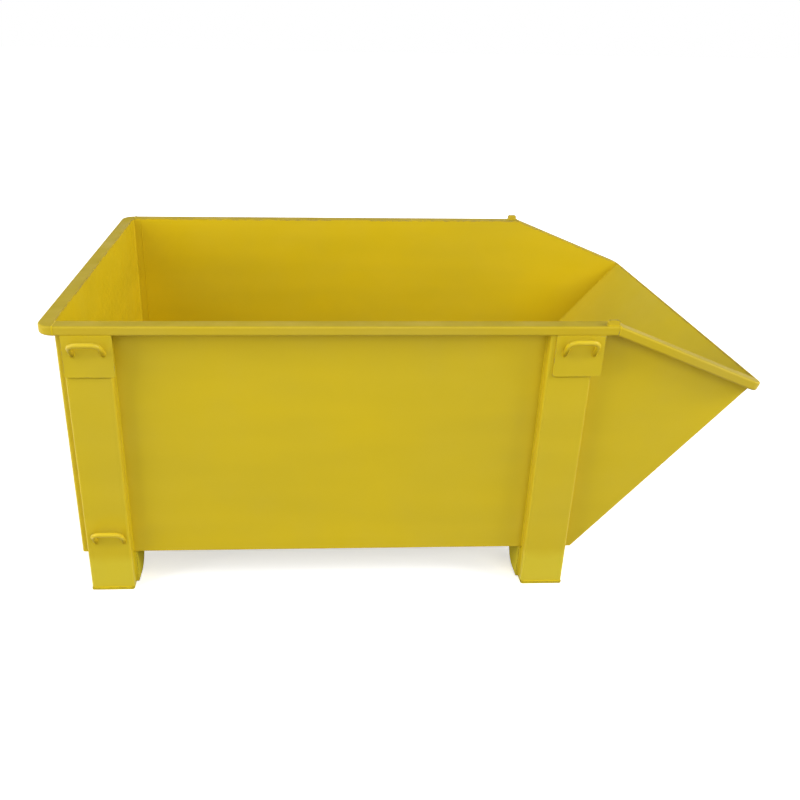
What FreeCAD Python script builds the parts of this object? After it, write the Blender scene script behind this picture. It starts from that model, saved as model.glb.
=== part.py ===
import FreeCAD, Part
import math
import os
import re
import Sketcher

# Stackable tipping skip of welded sheet steel. X runs from the rear wall to the pouring lip,
# -Y is the near long side, Z is up; the origin lies on the ground under the middle.

os.makedirs("parts", exist_ok=True)
doc = FreeCAD.newDocument("DumpContainer")

SIZES = {
    # the body
    "rim_straight": 1600,  # rear end of the rim to the kink
    "slope_run": 450,  # kink to the lip, along X
    "slope_drop": 180,  # kink to the lip, downwards
    "rim_width": 1300,  # over the long sides' rims
    "body_depth": 750,  # rim's top to the floor's underside
    "foot_height": 115,  # ground to the floor's underside
    "chute_back": 38,  # how far the chute's fold lies behind the kink
    "wall_sheet": 4,
    "floor_sheet": 5,
    "corner_bend": 8,  # outer radius of the rear wall's folds
    "corner_return": 35,  # the rear wall's folded edge, along the sides
    # the rim
    "rim_out": 40,  # how far the rim stands out from the walls
    "rim_face": 28,
    "rim_sheet": 4,
    "rim_bend": 6,
    "lip_out": 7,  # how far the lip's rail stands out from the chute
    # posts, doublers and feet
    "post_width": 130,
    "post_sheet": 5,
    "post_bend": 8,
    "rear_post_place": 65,  # rear end of the rim to the rear post
    "front_post_place": 1408,  # rear end of the rim to the front post
    "rear_head_shift": 5,  # how far the doubler and its eye lie ahead of the post's middle
    "front_head_shift": 20,
    "head_height": 121,
    "head_sheet": 5,
    "head_margin": 4,
    "head_corner": 6,
    "foot_plate": 6,
    "foot_corner": 8,
    "foot_depth": 150,  # rim's outer edge to the back of the foot's flanges
    "foot_bend": 62,  # radius of the flanges' lower corner
    "gusset_sheet": 10,
    "gusset_setback": 35,  # rim's outer edge to the gusset
    # eyes
    "eye_bar": 14,
    "eye_width": 84,
    "eye_reach": 58,
    "eye_bend": 24,
    "crane_eye_drop": 80,  # from the rim's top to the eye's root
    "rear_eye_tilt": 45,  # out of level
    "front_eye_tilt": 52,
    "tipping_eye_lift": 61,  # from the floor's underside to the eye's root
    "tipping_eye_tilt": 52,
    # stop lugs and floor ribs
    "lug_length": 32,
    "lug_height": 16,
    "lug_sheet": 10,
    "lug_margin": 3,
    "lug_corner": 6,
    "rib_width": 60,
    "rib_height": 30,
    "rib_sheet": 4,
    "rib_bend": 7,
    "rib_setback": 60,
    "rib_pitch": 380,
    # length by which a cut runs past what it cuts
    "overrun": 20,
}

sheet = doc.addObject("Spreadsheet::Sheet", "Sizes")
for row, (name, value) in enumerate(SIZES.items(), start=1):
    sheet.set("A%d" % row, name)
    sheet.set("B%d" % row, str(value))
    sheet.setAlias("B%d" % row, name)
doc.recompute()


def sized(text):
    """Turns plain names in an expression into references to the sheet."""
    return re.sub("[a-z_]+", lambda word: "Sizes." * (word[0] in SIZES) + word[0], text)


# Places worked out from the sizes. The skip's middle is at x = 0.
REAR = "( - ( rim_straight + slope_run ) / 2 )"
REAR_FACE = f"( {REAR} + rim_out )"
RETURN_END = f"( {REAR_FACE} + corner_return )"
KINK = "( ( rim_straight - slope_run ) / 2 )"
LIP = "( ( rim_straight + slope_run ) / 2 )"
FOLD = f"( {KINK} - chute_back )"
TOP = "( foot_height + body_depth )"
WALL_TOP = f"( {TOP} - rim_sheet )"
LIP_TOP = f"( {TOP} - slope_drop )"
POST_TOP = f"( {TOP} - rim_face )"
EDGE = "( rim_width / 2 )"
SIDE = "( rim_width / 2 - rim_out )"
INSIDE = "( rim_width / 2 - rim_out - wall_sheet )"
SLOPE = "atan2( slope_drop ; slope_run )"
SLOPE_LENGTH = "( slope_run / cos( atan2( slope_drop ; slope_run ) ) )"
REAR_POST = f"( {REAR} + rear_post_place + post_width / 2 )"
FRONT_POST = f"( {REAR} + front_post_place + post_width / 2 )"


def on_slope(along, out):
    """X and Z of a point given along the sloping rim from the lip's edge, and out of its top."""
    x = f"( {LIP} + ( {along} ) * cos( {SLOPE} ) + ( {out} ) * sin( {SLOPE} ) )"
    z = f"( {LIP_TOP} - ( {along} ) * sin( {SLOPE} ) + ( {out} ) * cos( {SLOPE} ) )"
    return x, z


CHUTE_TOP = on_slope("- lip_out", "- rim_sheet")
CHUTE = f"atan2( {CHUTE_TOP[1]} - foot_height ; {CHUTE_TOP[0]} - {FOLD} )"
# between the chute and the sloping rim's plane
SPLAY = f"( {CHUTE} + {SLOPE} )"
CHUTE_EDGE = f"( floor_sheet / sin( {SPLAY} ) )"
CHUTE_TOP_INSIDE = on_slope(f"- lip_out - {CHUTE_EDGE}", "- rim_sheet")
FOLD_INSIDE = (f"( {FOLD} - floor_sheet * tan( {CHUTE} / 2 ) )", "( foot_height + floor_sheet )")


def value_of(owner, text):
    result = owner.evalExpression(sized(text))
    return float(getattr(result, "Value", result))


def bind(owner, target, text):
    owner.setExpression(target, sized(text))


def origin_plane(body, role):
    return next(item for item in body.Origin.OriginFeatures if item.Role == role)


def new_body(label, x="0", y="0", z="0"):
    body = doc.addObject("PartDesign::Body", label)
    body.Label = label
    for axis, text in zip("xyz", (x, y, z)):
        bind(body, f"Placement.Base.{axis}", text)
    return body


def new_sketch(body, role, out="0", across="0"):
    """A sketch on a plane of its body, moved out along the plane's normal and across it."""
    sketch = body.newObject("Sketcher::SketchObject", body.Name + "_sketch")
    sketch.AttachmentSupport = [(origin_plane(body, role), "")]
    sketch.MapMode = "FlatFace"
    bind(sketch, "AttachmentOffset.Base.x", across)
    bind(sketch, "AttachmentOffset.Base.z", out)
    return sketch


def pin(sketch, geometry, point, across, up):
    """Fixes a point of a sketch at two bound distances from the sketch's origin."""
    for kind, text in (("DistanceX", across), ("DistanceY", up)):
        distance = Sketcher.Constraint(kind, -1, 1, geometry, point, value_of(sketch, text))
        bind(sketch, f"Constraints[{sketch.addConstraint(distance)}]", text)


def place(sketch, point):
    return FreeCAD.Vector(value_of(sketch, point[0]), value_of(sketch, point[1]), 0)


def moved(sketch, corner, neighbour, radius):
    """The point a radius away from a corner towards its neighbour, on a level or upright line."""
    step = place(sketch, neighbour) - place(sketch, corner)
    if abs(step.x) > abs(step.y):
        return f"{corner[0]} + ( {math.copysign(1, step.x):.0f} ) * {radius}", corner[1]
    return corner[0], f"{corner[1]} + ( {math.copysign(1, step.y):.0f} ) * {radius}"


def outline(sketch, corners, closed=True):
    """Lines through the corners; a corner with a third entry is rounded by that radius."""
    count = len(corners)
    arrive, leave = [], []
    for index, corner in enumerate(corners):
        if len(corner) == 2:
            arrive.append(corner)
            leave.append(corner)
            continue
        arrive.append(moved(sketch, corner, corners[index - 1], corner[2]))
        leave.append(moved(sketch, corner, corners[(index + 1) % count], corner[2]))
    lines = []
    for index in range(count if closed else count - 1):
        start, end = leave[index], arrive[(index + 1) % count]
        line = sketch.addGeometry(Part.LineSegment(place(sketch, start), place(sketch, end)))
        pin(sketch, line, 1, *start)
        pin(sketch, line, 2, *end)
        lines.append(line)
    for index, corner in enumerate(corners):
        if len(corner) == 3:
            round_corner(sketch, arrive[index], leave[index], corner, lines[index - 1], lines[index])


def round_corner(sketch, arrive, leave, corner, line_before, line_after):
    """An arc between two lines that end a radius away from a square corner."""
    start, end = place(sketch, arrive), place(sketch, leave)
    centre = start + end - place(sketch, corner)
    first, last = start - centre, end - centre
    joins = [(line_before, 2), (line_after, 1)]
    if first.x * last.y - first.y * last.x < 0:
        first, last = last, first
        joins.reverse()
    circle = Part.Circle(centre, FreeCAD.Vector(0, 0, 1), first.Length)
    turn = Part.ArcOfCircle(circle, math.atan2(first.y, first.x), math.atan2(last.y, last.x))
    arc = sketch.addGeometry(turn)
    for point, (line, line_end) in enumerate(joins, start=1):
        sketch.addConstraint(Sketcher.Constraint("Coincident", arc, point, line, line_end))
    radius = Sketcher.Constraint("Radius", arc, first.Length)
    bind(sketch, f"Constraints[{sketch.addConstraint(radius)}]", corner[2])


def pad(body, sketch, length, both_ways=False, backwards=False):
    feature = body.newObject("PartDesign::Pad", body.Name + "_pad")
    feature.Profile = sketch
    feature.Midplane = both_ways
    feature.Reversed = backwards
    bind(feature, "Length", length)
    return feature


def cut_through(body, sketch):
    """A pocket that runs right through the body on both sides of the sketch."""
    feature = body.newObject("PartDesign::Pocket", body.Name + "_pocket")
    feature.Profile = sketch
    feature.Type = "ThroughAll"
    feature.Midplane = True
    doc.recompute()
    before = feature.BaseFeature.Shape.Volume
    assert feature.Shape.Volume < before, f"{body.Label}: the pocket cuts nothing"
    return feature


QUARTER = 90  # degrees


def quarter_turn(body, sketch, backwards=False):
    feature = body.newObject("PartDesign::Revolution", body.Name + "_turn")
    feature.Profile = sketch
    feature.ReferenceAxis = (sketch, ["V_Axis"])
    feature.Angle = QUARTER
    feature.Reversed = backwards
    return feature


def mirror_in_body(body, feature, role):
    copy = body.newObject("PartDesign::Mirrored", body.Name + "_mirrored")
    copy.Originals = [feature]
    copy.MirrorPlane = (origin_plane(body, role), [""])
    body.Tip = copy
    return copy


pieces = []


def keep(item):
    pieces.append(item)
    return item


def keep_pair(near, name):
    """Keeps a near piece and its mirror image on the far side."""
    near.Label = f"{name}_near"
    far = doc.addObject("Part::Mirroring", f"{name}_far")
    far.Label = f"{name}_far"
    far.Source = near
    far.Normal = FreeCAD.Vector(0, 1, 0)
    pieces.extend([near, far])


def floor_plate():
    body = new_body("floor_plate")
    start = f"( {REAR_FACE} + wall_sheet )"
    sketch = new_sketch(body, "XZ_Plane")
    outline(sketch, [(start, "foot_height"), (FOLD, "foot_height"), FOLD_INSIDE, (start, FOLD_INSIDE[1])])
    pad(body, sketch, f"2 * {INSIDE}", both_ways=True)
    return body


def chute_plate():
    body = new_body("chute_plate")
    sketch = new_sketch(body, "XZ_Plane")
    outline(sketch, [(FOLD, "foot_height"), CHUTE_TOP, CHUTE_TOP_INSIDE, FOLD_INSIDE])
    pad(body, sketch, f"2 * {INSIDE}", both_ways=True)
    return body


def side_wall():
    body = new_body("side_wall", y=f"- {SIDE}")
    kink = (f"{KINK} - rim_sheet * tan( {SLOPE} / 2 )", WALL_TOP)
    sketch = new_sketch(body, "XZ_Plane")
    corners = [(RETURN_END, "foot_height"), (FOLD, "foot_height"), CHUTE_TOP, kink, (RETURN_END, WALL_TOP)]
    outline(sketch, corners)
    pad(body, sketch, "wall_sheet", backwards=True)
    return body


def rear_wall():
    """The rear sheet, folded forwards along both upright edges."""
    body = new_body("rear_wall")
    inner = f"{REAR_FACE} + wall_sheet"
    inner_bend = "( corner_bend - wall_sheet )"
    sketch = new_sketch(body, "XY_Plane", out="foot_height")
    outline(sketch, [
        (RETURN_END, f"- {SIDE}"),
        (REAR_FACE, f"- {SIDE}", "corner_bend"),
        (REAR_FACE, SIDE, "corner_bend"),
        (RETURN_END, SIDE),
        (RETURN_END, INSIDE),
        (inner, INSIDE, inner_bend),
        (inner, f"- {INSIDE}", inner_bend),
        (RETURN_END, f"- {INSIDE}"),
    ])
    pad(body, sketch, f"{WALL_TOP} - foot_height")
    return body


def channel(outwards, from_axis="0", cover="wall_sheet"):
    """The rim's section, its top at level zero and its closed inside left square. It stands out
    by rim_out and covers the wall's edge by cover; outwards is the sign of the way out,
    from_axis the wall's distance."""
    def at(out, up, *radius):
        return (f"( {outwards} ) * ( {from_axis} + {out} )", up, *radius)

    inner_out = "rim_out - rim_sheet"
    inner_low = "( rim_sheet - rim_face )"
    return [
        at(f"( - {cover} )", "0"),
        at("rim_out", "0", "rim_bend"),
        at("rim_out", "- rim_face", "rim_bend"),
        at("0", "- rim_face"),
        at("0", inner_low),
        at(inner_out, inner_low),
        at(inner_out, "- rim_sheet"),
        at(f"( - {cover} )", "- rim_sheet"),
    ]


def rim_rear():
    """The rear rail, bent forwards at both ends around the rear wall's folds."""
    body = new_body("rim_rear", z=TOP)
    straight = f"( {SIDE} - corner_bend )"
    sketch = new_sketch(body, "XZ_Plane", across=REAR_FACE)
    outline(sketch, channel("- 1"))
    pad(body, sketch, f"2 * {straight}", both_ways=True)
    end = new_sketch(body, "YZ_Plane", out=f"{REAR_FACE} + corner_bend", across=f"- {straight}")
    outline(end, channel("- 1", from_axis="corner_bend"))
    mirror_in_body(body, quarter_turn(body, end, backwards=True), "XZ_Plane")
    return body


def mitre(body, place_along, way):
    """Cuts a rail off at the plane that halves the kink; way is the sign of the cut-off side."""
    sketch = new_sketch(body, "XZ_Plane", across=place_along)
    low = "( rim_face + overrun )"
    beyond = f"( {way} ) * ( {low} + overrun )"
    lean = f"( {way} ) * tan( {SLOPE} / 2 )"
    outline(sketch, [
        (f"{lean} * overrun", "overrun"),
        (beyond, "overrun"),
        (beyond, f"- {low}"),
        (f"- {lean} * {low}", f"- {low}"),
    ])
    cut_through(body, sketch)


def rim_straight_rail():
    body = new_body("rim", y=f"- {SIDE}", z=TOP)
    start = f"( {REAR_FACE} + corner_bend )"
    sketch = new_sketch(body, "YZ_Plane", out=start)
    outline(sketch, channel("- 1"))
    pad(body, sketch, f"{KINK} + overrun - {start}")
    mitre(body, KINK, "1")
    return body


def tilt_to_slope(body):
    body.Placement.Rotation = FreeCAD.Rotation(FreeCAD.Vector(0, 1, 0), 0)
    bind(body, "Placement.Rotation.Angle", SLOPE)


def rim_sloping_rail():
    """The sloping rail with its rounded front end; built flat, then tilted about the lip's edge."""
    body = new_body("rim_slope", x=LIP, y=f"- {SIDE}", z=LIP_TOP)
    tilt_to_slope(body)
    start = f"( - {SLOPE_LENGTH} - overrun )"
    sketch = new_sketch(body, "YZ_Plane", out=start)
    outline(sketch, channel("- 1"))
    pad(body, sketch, f"- rim_out - {start}")
    end = new_sketch(body, "YZ_Plane", out="- rim_out")
    outline(end, channel("- 1", cover="0"))
    quarter_turn(body, end)
    strip = new_sketch(body, "YZ_Plane", out="- rim_out")
    outline(strip, [("0", "- rim_sheet"), ("wall_sheet", "- rim_sheet"), ("wall_sheet", "0"), ("0", "0")])
    pad(body, strip, f"rim_out - lip_out - {CHUTE_EDGE}")
    mitre(body, f"- {SLOPE_LENGTH}", "- 1")
    return body


def rim_lip():
    """The narrow rail along the pouring edge, closed against the chute's outer face."""
    body = new_body("rim_lip", x=LIP, z=LIP_TOP)
    tilt_to_slope(body)
    inner_low = "( rim_sheet - rim_face )"
    inside = f"( - lip_out - {CHUTE_EDGE} )"
    on_chute = f"- lip_out + ( {{}} + rim_sheet ) / tan( {SPLAY} )"
    sketch = new_sketch(body, "XZ_Plane")
    outline(sketch, [
        (inside, "0"),
        ("0", "0", "rim_bend"),
        ("0", "- rim_face", "rim_bend"),
        (on_chute.format("- rim_face"), "- rim_face"),
        (on_chute.format(inner_low), inner_low),
        ("- rim_sheet", inner_low),
        ("- rim_sheet", "- rim_sheet"),
        (inside, "- rim_sheet"),
    ])
    pad(body, sketch, f"2 * {SIDE}", both_ways=True)
    return body


def post(name, x):
    """A folded channel from the rim to the foot plate, with deeper flanges under the floor."""
    body = new_body(name, x=x, y=f"- {EDGE} + head_sheet")
    half = "post_width / 2"
    depth = "( rim_out - head_sheet )"
    inner_half = "( post_width / 2 - post_sheet )"
    inner_bend = "( post_bend - post_sheet )"
    sketch = new_sketch(body, "XY_Plane", out="foot_plate")
    outline(sketch, [
        (f"- {half}", depth),
        (f"- {half}", "0", "post_bend"),
        (half, "0", "post_bend"),
        (half, depth),
        (inner_half, depth),
        (inner_half, "post_sheet", inner_bend),
        (f"- {inner_half}", "post_sheet", inner_bend),
        (f"- {inner_half}", depth),
    ])
    pad(body, sketch, f"{POST_TOP} - foot_plate")
    back = "( foot_depth - head_sheet )"
    flange = new_sketch(body, "YZ_Plane", out=inner_half)
    outline(flange, [
        (depth, "foot_plate"),
        (back, "foot_plate", "foot_bend"),
        (back, "foot_height"),
        (depth, "foot_height"),
    ])
    mirror_in_body(body, pad(body, flange, "post_sheet"), "YZ_Plane")
    return body


def head_plate(name, x):
    body = new_body(name, x=x, y=f"- {EDGE}", z=f"{POST_TOP} - head_height")
    half = "( post_width / 2 + head_margin )"
    sketch = new_sketch(body, "XZ_Plane")
    outline(sketch, [
        (f"- {half}", "0", "head_corner"),
        (half, "0", "head_corner"),
        (half, "head_height"),
        (f"- {half}", "head_height"),
    ])
    pad(body, sketch, "head_sheet", backwards=True)
    return body


def foot_plate(name, x):
    body = new_body(name, x=x, y=f"- {EDGE}")
    depth = "( foot_depth - foot_bend )"
    sketch = new_sketch(body, "XY_Plane")
    outline(sketch, [
        ("- post_width / 2", "0", "foot_corner"),
        ("post_width / 2", "0", "foot_corner"),
        ("post_width / 2", depth, "foot_corner"),
        ("- post_width / 2", depth, "foot_corner"),
    ])
    pad(body, sketch, "foot_plate")
    return body


def foot_gusset(name, x, backwards):
    """A thick plate on the inner flange, rounded like it at the lower rear corner."""
    body = new_body(name, x=x, y=f"- {EDGE}")
    sketch = new_sketch(body, "YZ_Plane")
    outline(sketch, [
        ("gusset_setback", "foot_plate"),
        ("foot_depth", "foot_plate", "foot_bend"),
        ("foot_depth", "foot_height"),
        ("gusset_setback", "foot_height"),
    ])
    pad(body, sketch, "gusset_sheet", backwards=backwards)
    return body


EYE_MITRES = 3  # turns in each bend of an eye


def eye_corner(way):
    """A bend of the bow, from its leg to its top, as straight runs that touch the bend's arc;
    way is the sign of the leg's side."""
    step = QUARTER / EYE_MITRES
    reach = f"eye_bend / cos( {step / 2} )"
    turns = [step * (index + 0.5) for index in range(EYE_MITRES)]
    return [
        (
            f"( {way} ) * ( eye_width / 2 - eye_bend + {reach} * cos( {turn} ) )",
            f"eye_reach - eye_bend + {reach} * sin( {turn} )",
        )
        for turn in turns
    ]


def eye(name, x, y, z, tilt):
    """A round bar bent to a bow, standing out and upwards; its legs end on the plate's face."""
    body = new_body(name, x=x, y=y, z=z)
    body.Placement.Rotation = FreeCAD.Rotation(FreeCAD.Vector(1, 0, 0), 0)
    bind(body, "Placement.Rotation.Angle", f"90 - {tilt}")
    slant = f"eye_bar * tan( {tilt} )"
    root = f"( - {slant} )"
    half = "( eye_width / 2 )"
    section = new_sketch(body, "XY_Plane", out=root)
    centre = FreeCAD.Vector(value_of(section, f"- {half}"), 0, 0)
    ring = Part.Circle(centre, FreeCAD.Vector(0, 0, 1), value_of(section, "eye_bar / 2"))
    circle = section.addGeometry(ring)
    pin(section, circle, 3, f"- {half}", "0")
    radius = Sketcher.Constraint("Radius", circle, ring.Radius)
    bind(section, f"Constraints[{section.addConstraint(radius)}]", "eye_bar / 2")
    path = new_sketch(body, "XZ_Plane")
    corners = [(f"- {half}", root), *eye_corner("- 1"), *reversed(eye_corner("1")), (half, root)]
    outline(path, corners, closed=False)
    bow = body.newObject("PartDesign::AdditivePipe", name + "_bow")
    bow.Profile = section
    bow.Spine = path
    bow.Transition = "Right corner"
    face = new_sketch(body, "YZ_Plane")
    outline(face, [
        ("- eye_bar", root),
        ("eye_bar", slant),
        ("eye_bar", f"2 * {root}"),
        ("- eye_bar", f"2 * {root}"),
    ])
    cut_through(body, face)
    return body


def stack_lug():
    """A small plate on the outer part of the rim's top."""
    body = new_body("stack_lug", x=f"{KINK} - lug_margin", y=f"- {EDGE} + rim_bend + lug_sheet", z=TOP)
    sketch = new_sketch(body, "XZ_Plane")
    outline(sketch, [
        ("0", "0"),
        ("0", "lug_height", "lug_corner"),
        ("- lug_length", "lug_height", "lug_corner"),
        ("- lug_length", "0"),
    ])
    pad(body, sketch, "lug_sheet")
    return body


def floor_rib(name, x):
    body = new_body(name, x=x, z="foot_height - rib_height")
    half = "( rib_width / 2 )"
    inner = "( rib_width / 2 - rib_sheet )"
    inner_bend = "( rib_bend - rib_sheet )"
    sketch = new_sketch(body, "XZ_Plane")
    outline(sketch, [
        (f"- {half}", "rib_height"),
        (f"- {half}", "0", "rib_bend"),
        (half, "0", "rib_bend"),
        (half, "rib_height"),
        (inner, "rib_height"),
        (inner, "rib_sheet", inner_bend),
        (f"- {inner}", "rib_sheet", inner_bend),
        (f"- {inner}", "rib_height"),
    ])
    pad(body, sketch, f"2 * ( {SIDE} - rib_setback )", both_ways=True)
    return body


keep(floor_plate())
keep(chute_plate())
keep_pair(side_wall(), "side_wall")
keep(rear_wall())
keep(rim_rear())
keep_pair(rim_straight_rail(), "rim")
keep_pair(rim_sloping_rail(), "rim_slope")
keep(rim_lip())
for place_name, post_x, gusset_way in (("rear", REAR_POST, "1"), ("front", FRONT_POST, "- 1")):
    head_x = f"{post_x} + {place_name}_head_shift"
    keep_pair(post(f"{place_name}_post", post_x), f"{place_name}_post")
    keep_pair(head_plate(f"{place_name}_head_plate", head_x), f"{place_name}_head_plate")
    keep_pair(foot_plate(f"{place_name}_foot_plate", post_x), f"{place_name}_foot_plate")
    flange_x = f"{post_x} + ( {gusset_way} ) * post_width / 2"
    gusset = foot_gusset(f"{place_name}_foot_gusset", flange_x, backwards=gusset_way != "1")
    keep_pair(gusset, f"{place_name}_foot_gusset")
    eye_name = f"{place_name}_crane_eye"
    tilt = f"{place_name}_eye_tilt"
    keep_pair(eye(eye_name, head_x, f"- {EDGE}", f"{TOP} - crane_eye_drop", tilt), eye_name)
tipping_x = f"{REAR_POST} + rear_head_shift"
tipping_z = "foot_height + tipping_eye_lift"
tipping_eye = eye("tipping_eye", tipping_x, f"- {EDGE} + head_sheet", tipping_z, "tipping_eye_tilt")
keep_pair(tipping_eye, "tipping_eye")
keep_pair(stack_lug(), "stack_lug")
for number, shift in enumerate(("- rib_pitch", "0", "rib_pitch"), start=1):
    keep(floor_rib(f"floor_rib_{number}", f"( {REAR_POST} + {FRONT_POST} ) / 2 + ( {shift} )"))

doc.recompute()
for item in doc.Objects:
    assert "Invalid" not in item.State and "Error" not in item.State, f"{item.Label}: {item.State}"
for item in pieces:
    shape = item.Shape
    assert not shape.isNull() and shape.isValid(), f"{item.Label}: bad shape"
    assert len(shape.Solids) == 1, f"{item.Label}: {len(shape.Solids)} solids"
    shape.exportStep(f"parts/{item.Label}.step")
print(len(pieces), "pieces")
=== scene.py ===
import math
import random

import bmesh
import bpy
from mathutils import Matrix, Vector


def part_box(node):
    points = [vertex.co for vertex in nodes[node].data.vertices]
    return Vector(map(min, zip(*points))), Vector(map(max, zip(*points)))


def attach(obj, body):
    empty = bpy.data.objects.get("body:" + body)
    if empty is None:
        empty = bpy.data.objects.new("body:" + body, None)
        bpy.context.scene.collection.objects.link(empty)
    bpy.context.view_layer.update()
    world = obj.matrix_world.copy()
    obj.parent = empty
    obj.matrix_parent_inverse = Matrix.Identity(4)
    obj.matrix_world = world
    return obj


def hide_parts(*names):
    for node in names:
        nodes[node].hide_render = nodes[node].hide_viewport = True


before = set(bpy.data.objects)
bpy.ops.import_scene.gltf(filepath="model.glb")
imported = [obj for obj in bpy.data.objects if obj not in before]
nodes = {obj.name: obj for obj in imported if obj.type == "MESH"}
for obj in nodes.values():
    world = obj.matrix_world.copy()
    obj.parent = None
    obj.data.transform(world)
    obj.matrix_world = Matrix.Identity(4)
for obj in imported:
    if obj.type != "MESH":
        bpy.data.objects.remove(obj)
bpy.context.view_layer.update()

# The sheet body: floor, chute, two long sides and a folded rear wall, sheared and pressed from
# 4 and 5 mm mild steel and sprayed yellow all over. The paint covers well, with the fine peel
# of a spray gun, and the wide thin sheets are never quite flat.
SHEET_YELLOW = (0.690, 0.506, 0.008, 1.0)
SHEET_FADED = (0.645, 0.482, 0.014, 1.0)
SLIDE_YELLOW = (0.750, 0.590, 0.030, 1.0)
SLIDE_FADED = (0.720, 0.570, 0.055, 1.0)
PRIMER = (0.230, 0.190, 0.130, 1.0)
# Dust colour, which also paints shade into inner corners and onto level faces
DUST_AND_SHADE = (0.360, 0.275, 0.018, 1.0)
SPLASH = (0.760, 0.640, 0.045, 1.0)
SPLASH_HEIGHT = 0.125
MILLIMETRE = 0.001
EDGE_ROUND = 1.2 * MILLIMETRE
NOISE_SPAN = (0.3, 0.7)  # nearly all values of a noise lie between these
# the Mix node's colour sockets, by place, because its other modes have sockets of the same names
MIX_SHARE, MIX_FIRST, MIX_SECOND, MIX_RESULT = 0, 6, 7, 2


def add(tree, kind, settings=None, **inputs):
    """A node of a tree; each input takes a plain value or a link from another node's socket."""
    made = tree.nodes.new("ShaderNode" + kind)
    for name, value in (settings or {}).items():
        setattr(made, name, value)
    for name, value in inputs.items():
        feed(tree, made.inputs[name.replace("_", " ")], value)
    return made


def feed(tree, socket, value):
    if isinstance(value, bpy.types.NodeSocket):
        tree.links.new(value, socket)
    else:
        socket.default_value = value


def worked_out(tree, operation, *values):
    made = add(tree, "Math", {"operation": operation})
    for socket, value in zip(made.inputs, values):
        feed(tree, socket, value)
    return made.outputs[0]


def vectors(tree, operation, *values):
    made = add(tree, "VectorMath", {"operation": operation})
    for socket, value in zip(made.inputs, values):
        feed(tree, socket, value)
    return made


def ranged(tree, value, low, high, to_low=0.0, to_high=1.0):
    made = add(tree, "MapRange", Value=value, To_Min=to_low, To_Max=to_high)
    feed(tree, made.inputs["From Min"], low)
    feed(tree, made.inputs["From Max"], high)
    return made.outputs["Result"]


def blended(tree, share, first, second, way="MIX"):
    made = add(tree, "Mix", {"data_type": "RGBA", "blend_type": way})
    for place, value in ((MIX_SHARE, share), (MIX_FIRST, first), (MIX_SECOND, second)):
        feed(tree, made.inputs[place], value)
    return made.outputs[MIX_RESULT]


def noise(tree, where, scale, detail=2.0, roughness=0.5):
    made = add(tree, "TexNoise", Vector=where, Scale=scale, Detail=detail, Roughness=roughness)
    return made.outputs["Fac"]


def place_of(tree):
    return add(tree, "TexCoord").outputs["Object"]


def normal_of(tree):
    return add(tree, "NewGeometry").outputs["Normal"]


def new_group(name, inputs, outputs):
    """A shared effect: inputs are name: (kind, default), outputs are name: kind."""
    tree = bpy.data.node_groups.new(name, "ShaderNodeTree")
    for label, (kind, default) in inputs.items():
        socket = tree.interface.new_socket(label, in_out="INPUT", socket_type="NodeSocket" + kind)
        socket.default_value = default
    for label, kind in outputs.items():
        tree.interface.new_socket(label, in_out="OUTPUT", socket_type="NodeSocket" + kind)
    start = tree.nodes.new("NodeGroupInput")
    end = tree.nodes.new("NodeGroupOutput")
    return tree, start.outputs, end.inputs


def placed(tree, group, **inputs):
    made = add(tree, "Group", {"node_tree": group})
    for name, value in inputs.items():
        feed(tree, made.inputs[name.replace("_", " ")], value)
    return made.outputs


def spray_coat():
    """Sprayed paint: its colour drifts a little, its skin has a fine peel on a wavy sheet.

    The height is in millimetres.
    """
    tree, given, result = new_group(
        "spray_coat",
        {
            "Colour": ("Color", SHEET_YELLOW),
            "Faded": ("Color", SHEET_FADED),
            "Patch Scale": ("Float", 2.0),
            "Sheet Wave": ("Float", 1.0),
            "Rough Low": ("Float", 0.30),
            "Rough High": ("Float", 0.48),
        },
        {"Colour": "Color", "Roughness": "Float", "Height": "Float"},
    )
    fresh_spot, faded_spot = 0.35, 0.68
    level_passes = (1.2, 1.2, 7.0)
    darker, lighter = 0.975, 1.02
    peel_depth = 0.055
    where = place_of(tree)
    patches = noise(tree, where, given["Patch Scale"], detail=3.0)
    drift = blended(tree, ranged(tree, patches, fresh_spot, faded_spot), given["Colour"], given["Faded"])
    passes = add(tree, "Mapping", Vector=where, Scale=level_passes)
    bands = noise(tree, passes.outputs["Vector"], scale=1.6, detail=1.0)
    shade = ranged(tree, bands, *NOISE_SPAN, darker, lighter)
    grey = add(tree, "CombineColor", Red=shade, Green=shade, Blue=shade)
    feed(tree, result["Colour"], blended(tree, 1.0, drift, grey.outputs["Color"], "MULTIPLY"))
    sheen = noise(tree, where, scale=11.0, detail=4.0)
    rough = ranged(tree, sheen, *NOISE_SPAN, given["Rough Low"], given["Rough High"])
    feed(tree, result["Roughness"], rough)
    peel = worked_out(tree, "MULTIPLY", noise(tree, where, scale=420.0, detail=1.0), peel_depth)
    wave = worked_out(tree, "MULTIPLY", noise(tree, where, scale=3.2, detail=1.0), given["Sheet Wave"])
    feed(tree, result["Height"], worked_out(tree, "ADD", peel, wave))
    return tree


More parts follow.
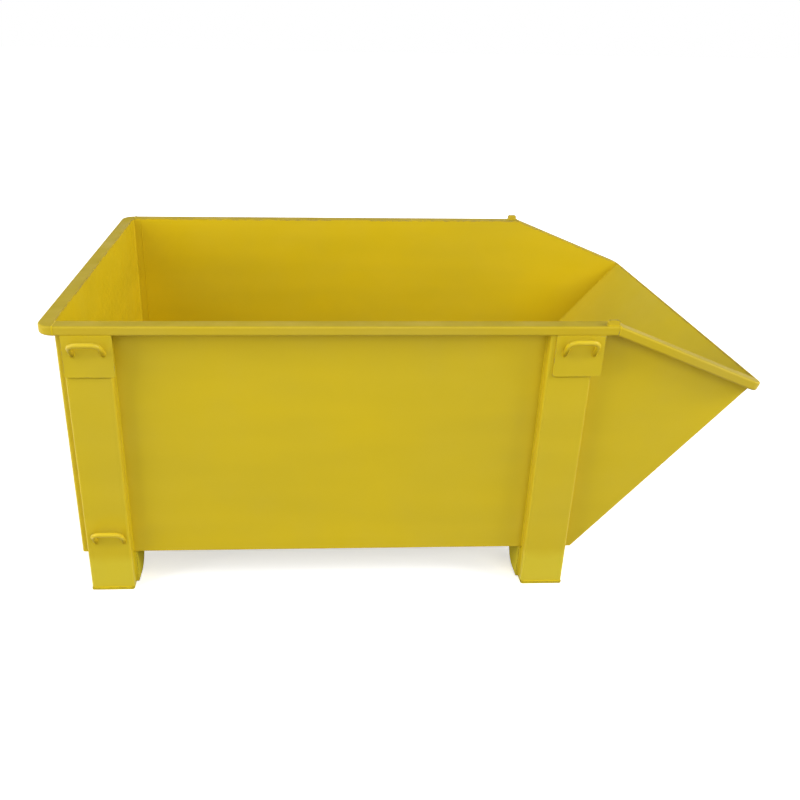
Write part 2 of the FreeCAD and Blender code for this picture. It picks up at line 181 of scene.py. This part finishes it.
def edge_wear():
    """Where paint has gone from outer edges: a mask that is 1 on bare spots."""
    tree, given, result = new_group(
        "edge_wear",
        {"Width": ("Float", 0.003), "Amount": ("Float", 0.3), "Patch Scale": ("Float", 26.0)},
        {"Mask": "Float"},
    )
    flat, sharp = 0.995, 0.80
    faint_edge, plain_edge = 0.05, 0.2
    whole_patch, broken_patch = 0.35, 0.65
    broken_up = 0.9
    still_painted, bare = 1.22, 1.34
    rounded = add(tree, "Bevel", {"samples": 6}, Radius=given["Width"])
    turned = vectors(tree, "DOT_PRODUCT", rounded.outputs["Normal"], normal_of(tree))
    edge = ranged(tree, turned.outputs["Value"], flat, sharp)
    patches = noise(tree, place_of(tree), given["Patch Scale"], detail=6.0, roughness=0.65)
    spots = ranged(tree, patches, whole_patch, broken_patch)
    broken = worked_out(tree, "MULTIPLY_ADD", spots, broken_up, -broken_up / 2)
    level = worked_out(tree, "ADD", worked_out(tree, "ADD", edge, broken), given["Amount"])
    gone = ranged(tree, level, still_painted, bare)
    only_edges = ranged(tree, edge, faint_edge, plain_edge)
    feed(tree, result["Mask"], worked_out(tree, "MULTIPLY", gone, only_edges))
    return tree


def dust_and_painted_shade():
    """Dust and painted shade on level faces and in inner corners, as a mask: the corner part follows
    ambient occlusion, so it darkens wherever faces hide one another.
    """
    tree, given, result = new_group(
        "dust_and_painted_shade",
        {"Amount": ("Float", 0.4), "Corner Reach": ("Float", 0.05), "Level Share": ("Float", 0.5)},
        {"Mask": "Float"},
    )
    open_face, deep_corner = 0.75, 0.30
    sloping, level_face = 0.5, 0.98
    thin_spot, thick_spot = 0.34, 0.68
    thinnest = 0.62
    # painted shade: occlusion darkens inner corners, creases and recesses, where shade falls
    hidden = add(tree, "AmbientOcclusion", {"samples": 6}, Distance=given["Corner Reach"])
    corner = ranged(tree, hidden.outputs["AO"], open_face, deep_corner)
    upward = add(tree, "SeparateXYZ", Vector=normal_of(tree)).outputs["Z"]
    # dust and painted shade: level faces come out darker than upright ones
    level = worked_out(tree, "MULTIPLY", ranged(tree, upward, sloping, level_face), given["Level Share"])
    both = worked_out(tree, "MAXIMUM", corner, level)
    spread = noise(tree, place_of(tree), scale=9.0, detail=5.0, roughness=0.6)
    patches = ranged(tree, spread, thin_spot, thick_spot, to_low=thinnest)
    patchy_dust_and_shade = worked_out(tree, "MULTIPLY", both, patches)
    feed(tree, result["Mask"], worked_out(tree, "MULTIPLY", patchy_dust_and_shade, given["Amount"]))
    return tree


def ground_splash():
    """A thin film of dried mud that rain throws up from the ground, as a mask."""
    tree, given, result = new_group(
        "ground_splash",
        {"Amount": ("Float", 0.5), "Height": ("Float", SPLASH_HEIGHT)},
        {"Mask": "Float"},
    )
    raggedness = 0.03
    clean, covered = 1.15, 0.85
    where = place_of(tree)
    height = add(tree, "SeparateXYZ", Vector=where).outputs["Z"]
    spread = noise(tree, where, scale=16.0, detail=5.0)
    ragged = worked_out(tree, "MULTIPLY_ADD", spread, raggedness, height)
    low = ranged(tree, worked_out(tree, "DIVIDE", ragged, given["Height"]), clean, covered)
    feed(tree, result["Mask"], worked_out(tree, "MULTIPLY", low, given["Amount"]))
    return tree


def slide_marks():
    """Fine scratches left on the inner faces by rubble that slides towards the lip, as a mask."""
    tree, given, result = new_group(
        "slide_marks",
        {"Amount": ("Float", 0.5), "Fineness": ("Float", 90.0)},
        {"Mask": "Float"},
    )
    lengthwise = 2.0
    upright_share = 0.3
    smooth, scored = 0.60, 0.68
    spared, rubbed = 0.42, 0.62
    side_on, facing_in = 0.0, -0.05
    where = place_of(tree)
    upright = worked_out(tree, "MULTIPLY", given["Fineness"], upright_share)
    fineness = add(tree, "CombineXYZ", X=lengthwise, Y=given["Fineness"], Z=upright)
    stretched = vectors(tree, "MULTIPLY", where, fineness.outputs["Vector"]).outputs["Vector"]
    scratches = noise(tree, stretched, scale=1.0, detail=4.0, roughness=0.7)
    lines = ranged(tree, scratches, smooth, scored)
    patches = ranged(tree, noise(tree, where, scale=3.5, detail=3.0), spared, rubbed)
    outward = vectors(tree, "MULTIPLY", where, (1.0, 1.0, 0.0)).outputs["Vector"]
    facing = vectors(tree, "DOT_PRODUCT", normal_of(tree), outward).outputs["Value"]
    inner = ranged(tree, facing, side_on, facing_in)
    scratched = worked_out(tree, "MULTIPLY", worked_out(tree, "MULTIPLY", lines, patches), inner)
    feed(tree, result["Mask"], worked_out(tree, "MULTIPLY", scratched, given["Amount"]))
    return tree


SPRAY_COAT = spray_coat()
EDGE_WEAR = edge_wear()
DUST_AND_PAINTED_SHADE = dust_and_painted_shade()
GROUND_SPLASH = ground_splash()
SLIDE_MARKS = slide_marks()


def painted_steel(
    name, colour, faded, wave, wear, wear_width, dust_and_shade, level_dust_and_shade,
    reach=0.05, marks=0.0, splash=0.0, shine=0.25, roughness=(0.30, 0.48), bare=PRIMER,
):
    """Yellow paint on steel, worn through at its edges. Dust and painted shade darken its corners and
    level faces.

    Wave is in millimetres; wear, dust, marks and splash are shares from 0 to 1.
    """
    dust_matt, scratch_matt, bare_matt = 0.35, 0.2, 0.25
    scratch_depth, chip_depth = 0.06, 0.10
    material = bpy.data.materials.new(name)
    material.use_nodes = True
    tree = material.node_tree
    shader = tree.nodes["Principled BSDF"]
    coat = placed(
        tree, SPRAY_COAT, Colour=colour, Faded=faded, Sheet_Wave=wave,
        Rough_Low=roughness[0], Rough_High=roughness[1],
    )
    worn = placed(tree, EDGE_WEAR, Width=wear_width, Amount=wear)["Mask"]
    # Dust, and painted shade in corners and on level faces, share this one mask
    dust_and_shade_mask = placed(tree, DUST_AND_PAINTED_SHADE, Amount=dust_and_shade, Level_Share=level_dust_and_shade, Corner_Reach=reach)["Mask"]
    splashed = placed(tree, GROUND_SPLASH, Amount=splash)["Mask"]
    tone = blended(tree, dust_and_shade_mask, blended(tree, splashed, coat["Colour"], SPLASH), DUST_AND_SHADE)
    matt = worked_out(tree, "MULTIPLY_ADD", dust_and_shade_mask, dust_matt, coat["Roughness"])
    height = coat["Height"]
    if marks:
        scratched = placed(tree, SLIDE_MARKS, Amount=marks)["Mask"]
        tone = blended(tree, scratched, tone, faded)
        matt = worked_out(tree, "MULTIPLY_ADD", scratched, scratch_matt, matt)
        height = worked_out(tree, "MULTIPLY_ADD", scratched, -scratch_depth, height)
    feed(tree, shader.inputs["Base Color"], blended(tree, worn, tone, bare))
    feed(tree, shader.inputs["Roughness"], worked_out(tree, "MULTIPLY_ADD", worn, bare_matt, matt))
    chipped = worked_out(tree, "MULTIPLY_ADD", worn, -chip_depth, height)
    softened = add(tree, "Bevel", {"samples": 4}, Radius=EDGE_ROUND)
    bump = add(
        tree, "Bump", Strength=1.0, Distance=MILLIMETRE, Height=chipped, Normal=softened.outputs["Normal"])
    feed(tree, shader.inputs["Normal"], bump.outputs["Normal"])
    shader.inputs["Specular IOR Level"].default_value = shine
    return material


def paint(material, *names):
    for name in names:
        for slot in nodes[name].material_slots:
            slot.material = material


# The walls' corner darkening reaches far: painted shade beside the posts, under the rim and in the inner
# corners of the box
wall_paint = painted_steel(
    "wall_paint", SHEET_YELLOW, SHEET_FADED, wave=1.1, wear=0.22, wear_width=0.003,
    dust_and_shade=0.28, level_dust_and_shade=0.3, reach=0.12, marks=0.35,
)
slide_paint = painted_steel(
    "slide_paint", SLIDE_YELLOW, SLIDE_FADED, wave=0.8, wear=0.30, wear_width=0.003,
    dust_and_shade=0.45, level_dust_and_shade=0.8, marks=0.75, shine=0.10, roughness=(0.50, 0.70),
)
paint(wall_paint, "side_wall_near", "side_wall_far", "rear_wall")
paint(slide_paint, "floor_plate", "chute_plate")


# The body's seams: fillet welds laid by hand with a wire gun inside the box, and flat beads
# along the chute's outer edges. Each bead is a row of overlapping ripples under the paint.
RIPPLE = 0.0045
RIPPLE_HOLLOW = 0.84
HAND_SPREAD = (0.92, 1.06)
BEAD_END = 0.7
BEAD_ROUNDNESS = 1
MERGED_WITHIN = 0.01 * MILLIMETRE
FILLET = 3.2 * MILLIMETRE
FLUSH = 2.6 * MILLIMETRE
FLUSH_DEPTH = 1.6 * MILLIMETRE
hand = random.Random(7)  # the welder's, which never lays two ripples alike


def tip(name, *way):
    """The point of a node that lies furthest along a direction."""
    towards = Vector(way)
    return max((vertex.co for vertex in nodes[name].data.vertices), key=towards.dot).copy()


def lay_bead(seam, points, radius, closed=False):
    """Adds a rippled bead along straight runs between points to a curve."""
    runs = zip(points, points[1:] + points[:1] if closed else points[1:])
    places, sizes = [], []
    for start, end in runs:
        count = max(2, round((end - start).length / RIPPLE) * 2)
        for index in range(count):
            places.append(start.lerp(end, index / count))
            crest = 1.0 if index % 2 == 0 else RIPPLE_HOLLOW
            sizes.append(crest * hand.uniform(*HAND_SPREAD))
    if not closed:
        places.append(points[-1])
        sizes.append(BEAD_END)
        sizes[0] = BEAD_END
    spline = seam.splines.new("POLY")
    spline.points.add(len(places) - 1)
    spline.use_cyclic_u = closed
    for point, place, size in zip(spline.points, places, sizes):
        point.co = (*place, 1.0)
        point.radius = size * radius


def welded(name, beads, material):
    """One mesh piece from a list of beads, each (points, radius) or (points, radius, closed)."""
    seam = bpy.data.curves.new(name, "CURVE")
    seam.dimensions = "3D"
    seam.bevel_depth = 1.0
    seam.bevel_resolution = BEAD_ROUNDNESS
    seam.use_fill_caps = True
    for bead in beads:
        lay_bead(seam, *bead)
    drawn = bpy.data.objects.new(name + "_line", seam)
    bpy.context.scene.collection.objects.link(drawn)
    mesh = bpy.data.meshes.new_from_object(drawn.evaluated_get(bpy.context.evaluated_depsgraph_get()))
    bpy.data.objects.remove(drawn)
    return made_piece(name, mesh, material)


def made_piece(name, mesh, material):
    form = bmesh.new()
    form.from_mesh(mesh)
    bmesh.ops.remove_doubles(form, verts=form.verts, dist=MERGED_WITHIN)
    bmesh.ops.recalc_face_normals(form, faces=form.faces)
    for face in form.faces:
        face.smooth = True
    form.to_mesh(mesh)
    form.free()
    mesh.name = name
    mesh.materials.clear()
    mesh.materials.append(material)
    piece = bpy.data.objects.new(name, mesh)
    bpy.context.scene.collection.objects.link(piece)
    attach(piece, "root")
    return piece


def mirrored(points):
    return [Vector((point.x, -point.y, point.z)) for point in points]


def both_sides(points, radius):
    return [(points, radius), (mirrored(points), radius)]


weld_paint = painted_steel(
    "weld_paint", SHEET_YELLOW, SHEET_FADED, wave=0.0, wear=0.08, wear_width=0.001,
    dust_and_shade=0.35, level_dust_and_shade=0.4, shine=0.13,
)

floor_low, floor_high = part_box("floor_plate")
wall_low, wall_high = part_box("side_wall_near")
fold = tip("floor_plate", 1, 0, 10)  # the front edge of its upper face
chute_head = tip("chute_plate", -0.3, 0, 1)  # the lip edge of its inner face
chute_toe = tip("chute_plate", 1, 0, -0.3)  # the lip edge of its outer face

rear_inside = Vector((floor_low.x, floor_low.y, floor_high.z))
fold_inside = Vector((fold.x, floor_low.y, floor_high.z))
chute_inside = Vector((chute_head.x, floor_low.y, chute_head.z))
side_seam = [rear_inside, fold_inside, chute_inside]
rear_seam = [rear_inside, *mirrored([rear_inside])]
fold_seam = [fold_inside, *mirrored([fold_inside])]
upright_seam = [
    Vector((wall_low.x, floor_low.y - FLUSH_DEPTH, height)) for height in (floor_high.z, wall_high.z)
]
chute_edge = [
    Vector((corner.x - FLUSH_DEPTH, floor_low.y, corner.z + FLUSH_DEPTH))
    for corner in (Vector((floor_high.x, 0, floor_low.z)), chute_toe)
]
welded("body_seams", [
    *both_sides(side_seam, FILLET),
    (rear_seam, FILLET),
    (fold_seam, FLUSH),
    *both_sides(upright_seam, FLUSH),
    *both_sides(chute_edge, FLUSH),
], weld_paint)


# The rim: a channel folded from 4 mm sheet, turned round the rear corners, mitred at the two
# kinks and closed by a narrow rail along the lip. It is stitched to the walls from below, and
# it is the part that gets knocked most.
RIM_YELLOW = (0.640, 0.465, 0.018, 1.0)
RIM_FADED = (0.605, 0.450, 0.040, 1.0)
STITCH = 0.045
STITCH_PITCH = 0.150

# The rim's level faces are darkened strongly: dust, and painted shade on its top
rim_paint = painted_steel(
    "rim_paint", RIM_YELLOW, RIM_FADED, wave=0.25, wear=0.30, wear_width=0.004,
    dust_and_shade=0.72, level_dust_and_shade=0.9, shine=0.08,
)
paint(rim_paint, "rim_rear", "rim_near", "rim_far", "rim_slope_near", "rim_slope_far", "rim_lip")


def stitches(start, end, radius):
    """Short beads at an even pitch along a line."""
    length = (end - start).length
    count = int(length / STITCH_PITCH)
    first = (length - (count - 1) * STITCH_PITCH - STITCH) / 2
    beads = []
    for index in range(count):
        place = first + index * STITCH_PITCH
        ends = [start.lerp(end, place / length), start.lerp(end, (place + STITCH) / length)]
        beads.append((ends, radius))
    return beads


rim_low, rim_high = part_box("rim_near")
rear_post_low, rear_post_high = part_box("rear_post_near")
front_post_low, front_post_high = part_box("front_post_near")
POST_BOXES = [
    ("rear", rear_post_low, rear_post_high), ("front", front_post_low, front_post_high),
]
rear_low, rear_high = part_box("rear_wall")
kink = tip("rim_near", 1, 0, 0.2)  # where the sloping rail joins on
wall_face = wall_low.y
rim_under = rim_low.z

between_posts = [Vector((x, wall_face, rim_under)) for x in (rear_post_high.x, front_post_low.x)]
along_rear = [Vector((rear_low.x, y, rim_under)) for y in (rear_low.y, rear_high.y)]
rim_beads = stitches(*between_posts, FILLET)
rim_beads += stitches(*mirrored(between_posts), FILLET)
rim_beads += stitches(*along_rear, FILLET)
for x in (kink.x, rim_low.x):
    top, face = rim_high.z - FLUSH_DEPTH, rim_low.y + FLUSH_DEPTH
    mitre = [
        Vector((x, rim_high.y, top)),
        Vector((x, face, top)),
        Vector((x, face, rim_under + FLUSH_DEPTH)),
    ]
    rim_beads += both_sides(mitre, FILLET)
welded("rim_seams", rim_beads, weld_paint)


# The corner posts: four channels pressed from 5 mm plate, each with a doubler plate behind its
# crane eye. Both flanges are welded to the side wall all the way up, the doubler along its foot
# and head. Rain throws mud from the ground against their lower ends.
POST_YELLOW = (0.675, 0.500, 0.012, 1.0)
POST_FADED = (0.635, 0.478, 0.024, 1.0)
POSTS = [f"{end}_post_{side}" for end in ("rear", "front") for side in ("near", "far")]
HEAD_PLATES = [name.replace("post", "head_plate") for name in POSTS]
POST_BEND = 0.008
PLATE_FILLET = 0.005

post_paint = painted_steel(
    "post_paint", POST_YELLOW, POST_FADED, wave=0.4, wear=0.22, wear_width=0.003,
    dust_and_shade=0.30, level_dust_and_shade=0.5, splash=0.5, shine=0.19,
)
paint(post_paint, *POSTS, *HEAD_PLATES)
post_beads = []
for end, low, high in POST_BOXES:
    plate_low, plate_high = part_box(f"{end}_head_plate_near")
    for x in (low.x, high.x):
        flange = [Vector((x, wall_face, height)) for height in (wall_low.z, rim_under)]
        post_beads += both_sides(flange, FILLET)
    foot_start = max(low.x, plate_low.x) + POST_BEND
    foot_end = min(high.x, plate_high.x) - POST_BEND
    foot = [Vector((x, plate_high.y, plate_low.z)) for x in (foot_start, foot_end)]
    head_face = plate_low.y + PLATE_FILLET
    head = [Vector((x, head_face, plate_high.z)) for x in (plate_low.x, plate_high.x)]
    post_beads += both_sides(foot, PLATE_FILLET)
    post_beads += both_sides(head, PLATE_FILLET)
welded("post_seams", post_beads, weld_paint)


# The feet: a plate under each post, held between the post's flanges, with a thick gusset on the
# inner flange, and three ribs across under the floor. They stand on gravel and concrete, so
# their paint is scuffed down to brown steel and dusty, and their corners under the body are
# darkened with painted shade.
FOOT_YELLOW = (0.720, 0.565, 0.014, 1.0)
FOOT_FADED = (0.650, 0.510, 0.032, 1.0)
FOOT_RUST = (0.140, 0.070, 0.030, 1.0)
FEET = [name.replace("post", part) for name in POSTS for part in ("foot_plate", "foot_gusset")]
RIBS = ["floor_rib_1", "floor_rib_2", "floor_rib_3"]

foot_paint = painted_steel(
    "foot_paint", FOOT_YELLOW, FOOT_FADED, wave=0.2, wear=0.48, wear_width=0.004,
    dust_and_shade=0.55, level_dust_and_shade=0.9, splash=0.4, shine=0.04, roughness=(0.65, 0.85), bare=FOOT_RUST,
)
paint(foot_paint, *FEET, *RIBS)
foot_beads = []
for end, low, high in POST_BOXES:
    plate_low, plate_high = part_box(f"{end}_foot_plate_near")
    ledge = [Vector((x, low.y, plate_high.z)) for x in (low.x + POST_BEND, high.x - POST_BEND)]
    foot_beads += both_sides(ledge, FILLET)
    gusset_low, gusset_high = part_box(f"{end}_foot_gusset_near")
    flange_x = gusset_low.x if end == "rear" else gusset_high.x
    joint = [Vector((flange_x, gusset_low.y, height)) for height in (gusset_low.z, gusset_high.z)]
    foot_beads += both_sides(joint, FLUSH)
for name in RIBS:
    low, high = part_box(name)
    for x in (low.x, high.x):
        foot_beads += stitches(Vector((x, low.y, high.z)), Vector((x, high.y, high.z)), FILLET)
welded("foot_seams", foot_beads, weld_paint)


# The eyes: 14 mm round bar bent cold to a bow and welded on at a slant, so that hooks find them
# from above. Four stand on the doubler plates for a crane, two on the rear posts for tipping.
EYE_YELLOW = (0.750, 0.550, 0.012, 1.0)
EYE_FADED = (0.700, 0.520, 0.030, 1.0)
BAR = 0.014
EYE_BEND = 0.024
BAR_SIDES = 20
BEND_STEPS = 8
EYE_FILLET = 2.4 * MILLIMETRE
FILLET_STEPS = 14
EYE_PLACES = [  # eye, the piece it stands on, tilt out of level
    ("rear_crane_eye", "rear_head_plate_near", math.radians(45)),
    ("front_crane_eye", "front_head_plate_near", math.radians(52)),
    ("tipping_eye", "rear_post_near", math.radians(52)),
]

eye_paint = painted_steel(
    "eye_paint", EYE_YELLOW, EYE_FADED, wave=0.0, wear=0.10, wear_width=0.002,
    dust_and_shade=0.2, level_dust_and_shade=0.3,
)


def carried_on(form, ring, way):
    """Draws a ring of edges out along a straight run, and gives the ring at its end."""
    grown = bmesh.ops.extrude_edge_only(form, edges=ring)["geom"]
    verts = [item for item in grown if isinstance(item, bmesh.types.BMVert)]
    edges = [item for item in grown if isinstance(item, bmesh.types.BMEdge)]
    bmesh.ops.translate(form, verts=verts, vec=way)
    return [edge for edge in edges if all(vertex in verts for vertex in edge.verts)]


def turned_on(form, ring, centre, axis):
    """Spins a ring of edges through a square bend, and gives the ring at its end."""
    geom = list(ring) + list(dict.fromkeys(vertex for edge in ring for vertex in edge.verts))
    spun = bmesh.ops.spin(
        form, geom=geom, cent=centre, axis=axis, angle=math.pi / 2, steps=BEND_STEPS)
    return [item for item in spun["geom_last"] if isinstance(item, bmesh.types.BMEdge)]


def bent_bar(name, plate_y, tilt):
    """The bow of one eye, from its box: two slanted legs, two bends and the bar between."""
    low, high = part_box(name)
    middle = (low.x + high.x) / 2
    half = (high.x - low.x - BAR) / 2
    slant = Vector((0, -math.cos(tilt), math.sin(tilt)))
    top = Vector((middle, low.y + BAR / 2, high.z - BAR / 2))
    reach = (plate_y - top.y) / -slant.y
    root = top - slant * reach
    behind = BAR / 2
    bend_level = top - slant * EYE_BEND
    bend_place = Vector((half - EYE_BEND, 0, 0))
    bend_axis = slant.cross(Vector((1, 0, 0)))
    leg = slant * (reach + behind - EYE_BEND)

    form = bmesh.new()
    across_leg = slant.to_track_quat("Z", "X").to_matrix().to_4x4()
    start = Matrix.Translation(root - slant * behind + Vector((-half, 0, 0)))
    bmesh.ops.create_circle(form, segments=BAR_SIDES, radius=BAR / 2, matrix=start @ across_leg)
    ring = carried_on(form, list(form.edges), leg)
    ring = turned_on(form, ring, bend_level - bend_place, bend_axis)
    ring = carried_on(form, ring, bend_place * 2)
    ring = turned_on(form, ring, bend_level + bend_place, bend_axis)
    carried_on(form, ring, -leg)
    return form, root, half, slant


def crane_eye(name, plate_y, tilt, far):
    """Makes one eye's bar, cut off flush with its plate, and gives the beads round its legs."""
    form, root, half, slant = bent_bar(f"{name}_near", plate_y, tilt)
    bmesh.ops.bisect_plane(
        form, geom=list(form.verts) + list(form.edges) + list(form.faces),
        plane_co=Vector((0, plate_y, 0)), plane_no=Vector((0, 1, 0)), clear_outer=True)
    bmesh.ops.holes_fill(form, edges=[edge for edge in form.edges if edge.is_boundary])
    if far:
        bmesh.ops.scale(form, verts=form.verts, vec=(1, -1, 1))
    side = "far" if far else "near"
    mesh = bpy.data.meshes.new(f"{name}_bar_{side}")
    form.to_mesh(mesh)
    form.free()
    bow = made_piece(f"{name}_bar_{side}", mesh, eye_paint)
    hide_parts(f"{name}_{side}")
    wide, tall = BAR / 2, BAR / 2 / -slant.y
    beads = []
    for leg in (-half, half):
        ring = []
        for step in range(FILLET_STEPS):
            turn = math.tau * step / FILLET_STEPS
            ring.append(root + Vector((leg + wide * math.cos(turn), 0, tall * math.sin(turn))))
        beads.append((mirrored(ring) if far else ring, EYE_FILLET, True))
    return beads


eye_beads = []
for eye_name, plate_name, eye_tilt in EYE_PLACES:
    plate_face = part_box(plate_name)[0].y
    for far in (False, True):
        eye_beads += crane_eye(eye_name, plate_face, eye_tilt, far)
welded("eye_seams", eye_beads, weld_paint)


# The stop lugs: two flat tongues cut from 10 mm plate and welded on the rim just behind the
# kinks, which keep a stacked container from sliding forwards.
LUG_FILLET = 2.0 * MILLIMETRE

lug_beads = []
for side in ("near", "far"):
    paint(rim_paint, f"stack_lug_{side}")
    low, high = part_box(f"stack_lug_{side}")
    base = [
        Vector((low.x, low.y, low.z)), Vector((high.x, low.y, low.z)),
        Vector((high.x, high.y, low.z)), Vector((low.x, high.y, low.z)),
    ]
    lug_beads.append((base, LUG_FILLET, True))
welded("lug_seams", lug_beads, weld_paint)


# A plain pale floor that fades into the white of a studio. The light comes from a pale sky that
# is brightest at the horizon and from four soft boxes: one in front, two at the rear wall's end
# and a strong one at the lip's end, so that the inside is nearly as bright as the outside.
FLOOR_REACH = 30.0
STUDIO_WHITE = (1.0, 1.0, 1.0, 1.0)
FLOOR_GREY = (0.30, 0.30, 0.30, 1.0)
FLOOR_ROUGH = 0.9
FLOOR_GLOW = 0.52
FADE_START = 2.2
FADE_END = 5.0
SKY_TINT = (0.97, 0.98, 1.0, 1.0)
HORIZON_LIGHT = 0.96
ZENITH_LIGHT = 0.0
HORIZON_TOP = 0.1
ZENITH_EDGE = 0.9
SOFT_BOXES = [  # name, place, aim, side, watts
    ("key_light", (3.8, -9.0, 5.4), (0.0, 0.0, 0.4), 5.0, 205.0),
    ("left_light", (-5.0, -2.0, 5.5), (0.3, 0.0, 0.5), 4.0, 185.0),
    ("low_left_light", (-8.0, -3.5, 2.5), (0.3, 0.0, 0.5), 4.0, 245.0),
    ("right_light", (7.5, -2.5, 5.0), (-0.4, 0.0, 0.5), 4.0, 470.0),
]


def camera_sees(tree):
    """1 for rays that show the studio to the camera, also by way of gloss or glass."""
    path = add(tree, "LightPath").outputs
    shown = worked_out(tree, "MAXIMUM", path["Is Camera Ray"], path["Is Glossy Ray"])
    return worked_out(tree, "MAXIMUM", shown, path["Is Transmission Ray"])


def studio_floor():
    form = bmesh.new()
    bmesh.ops.create_grid(form, x_segments=1, y_segments=1, size=FLOOR_REACH)
    mesh = bpy.data.meshes.new("studio_floor")
    form.to_mesh(mesh)
    form.free()
    material = bpy.data.materials.new("studio_floor")
    material.use_nodes = True
    tree = material.node_tree
    shader = tree.nodes["Principled BSDF"]
    shown = camera_sees(tree)
    distance = vectors(tree, "LENGTH", place_of(tree)).outputs["Value"]
    glow = ranged(tree, distance, FADE_START, FADE_END, FLOOR_GLOW, 1.0)
    feed(tree, shader.inputs["Base Color"], blended(tree, shown, FLOOR_GREY, STUDIO_WHITE))
    feed(tree, shader.inputs["Emission Strength"], worked_out(tree, "MULTIPLY", shown, glow))
    shader.inputs["Emission Color"].default_value = STUDIO_WHITE
    shader.inputs["Roughness"].default_value = FLOOR_ROUGH
    shader.inputs["Specular IOR Level"].default_value = 0.0
    mesh.materials.append(material)
    floor = bpy.data.objects.new("studio_floor", mesh)
    bpy.context.scene.collection.objects.link(floor)


def studio_world():
    world = bpy.data.worlds.new("studio")
    bpy.context.scene.world = world
    world.use_nodes = True
    tree = world.node_tree
    tree.nodes.clear()
    height = add(tree, "SeparateXYZ", Vector=add(tree, "TexCoord").outputs["Generated"]).outputs["Z"]
    glow = ranged(tree, height, HORIZON_TOP, ZENITH_EDGE, HORIZON_LIGHT, ZENITH_LIGHT)
    light = add(tree, "Background", Color=SKY_TINT, Strength=glow)
    white = add(tree, "Background", Color=STUDIO_WHITE, Strength=1.0)
    mixed = add(tree, "MixShader", Fac=camera_sees(tree))
    tree.links.new(light.outputs[0], mixed.inputs[1])
    tree.links.new(white.outputs[0], mixed.inputs[2])
    end = tree.nodes.new("ShaderNodeOutputWorld")
    tree.links.new(mixed.outputs[0], end.inputs["Surface"])


def soft_box(name, place, aim, size, power):
    lamp = bpy.data.lights.new(name, "AREA")
    lamp.shape = "SQUARE"
    lamp.size = size
    lamp.energy = power
    box = bpy.data.objects.new(name, lamp)
    box.location = place
    box.rotation_mode = "QUATERNION"
    box.rotation_quaternion = (Vector(aim) - Vector(place)).to_track_quat("-Z", "Y")
    bpy.context.scene.collection.objects.link(box)


studio_floor()
studio_world()
for described in SOFT_BOXES:
    soft_box(*described)


# The camera: fitted to the straight edges of the container in the photograph, with a small
# shift for the way that the photograph is cropped.
CAMERA_PLACE = Vector((-0.304, -2.850, 1.668))
CAMERA_YAW = math.radians(3.13)
CAMERA_PITCH = math.radians(24.90)
CAMERA_ROLL = math.radians(1.09)
SENSOR = 36.0
FOCAL = 38.670
SHIFT = 0.0675

ahead_level = Vector((math.sin(CAMERA_YAW), math.cos(CAMERA_YAW), 0))
level_right = Vector((math.cos(CAMERA_YAW), -math.sin(CAMERA_YAW), 0))
ahead = ahead_level * math.cos(CAMERA_PITCH) - Vector((0, 0, math.sin(CAMERA_PITCH)))
level_up = ahead_level * math.sin(CAMERA_PITCH) + Vector((0, 0, math.cos(CAMERA_PITCH)))
right = level_right * math.cos(CAMERA_ROLL) + level_up * math.sin(CAMERA_ROLL)
up = level_up * math.cos(CAMERA_ROLL) - level_right * math.sin(CAMERA_ROLL)
lens = bpy.data.cameras.new("camera")
lens.sensor_width = SENSOR
lens.lens = FOCAL
lens.shift_x = SHIFT
camera = bpy.data.objects.new("camera", lens)
camera.matrix_world = Matrix((
    (right.x, up.x, -ahead.x, CAMERA_PLACE.x),
    (right.y, up.y, -ahead.y, CAMERA_PLACE.y),
    (right.z, up.z, -ahead.z, CAMERA_PLACE.z),
    (0, 0, 0, 1),
))
bpy.context.scene.collection.objects.link(camera)
bpy.context.scene.camera = camera
bpy.context.scene.view_settings.view_transform = "Standard"
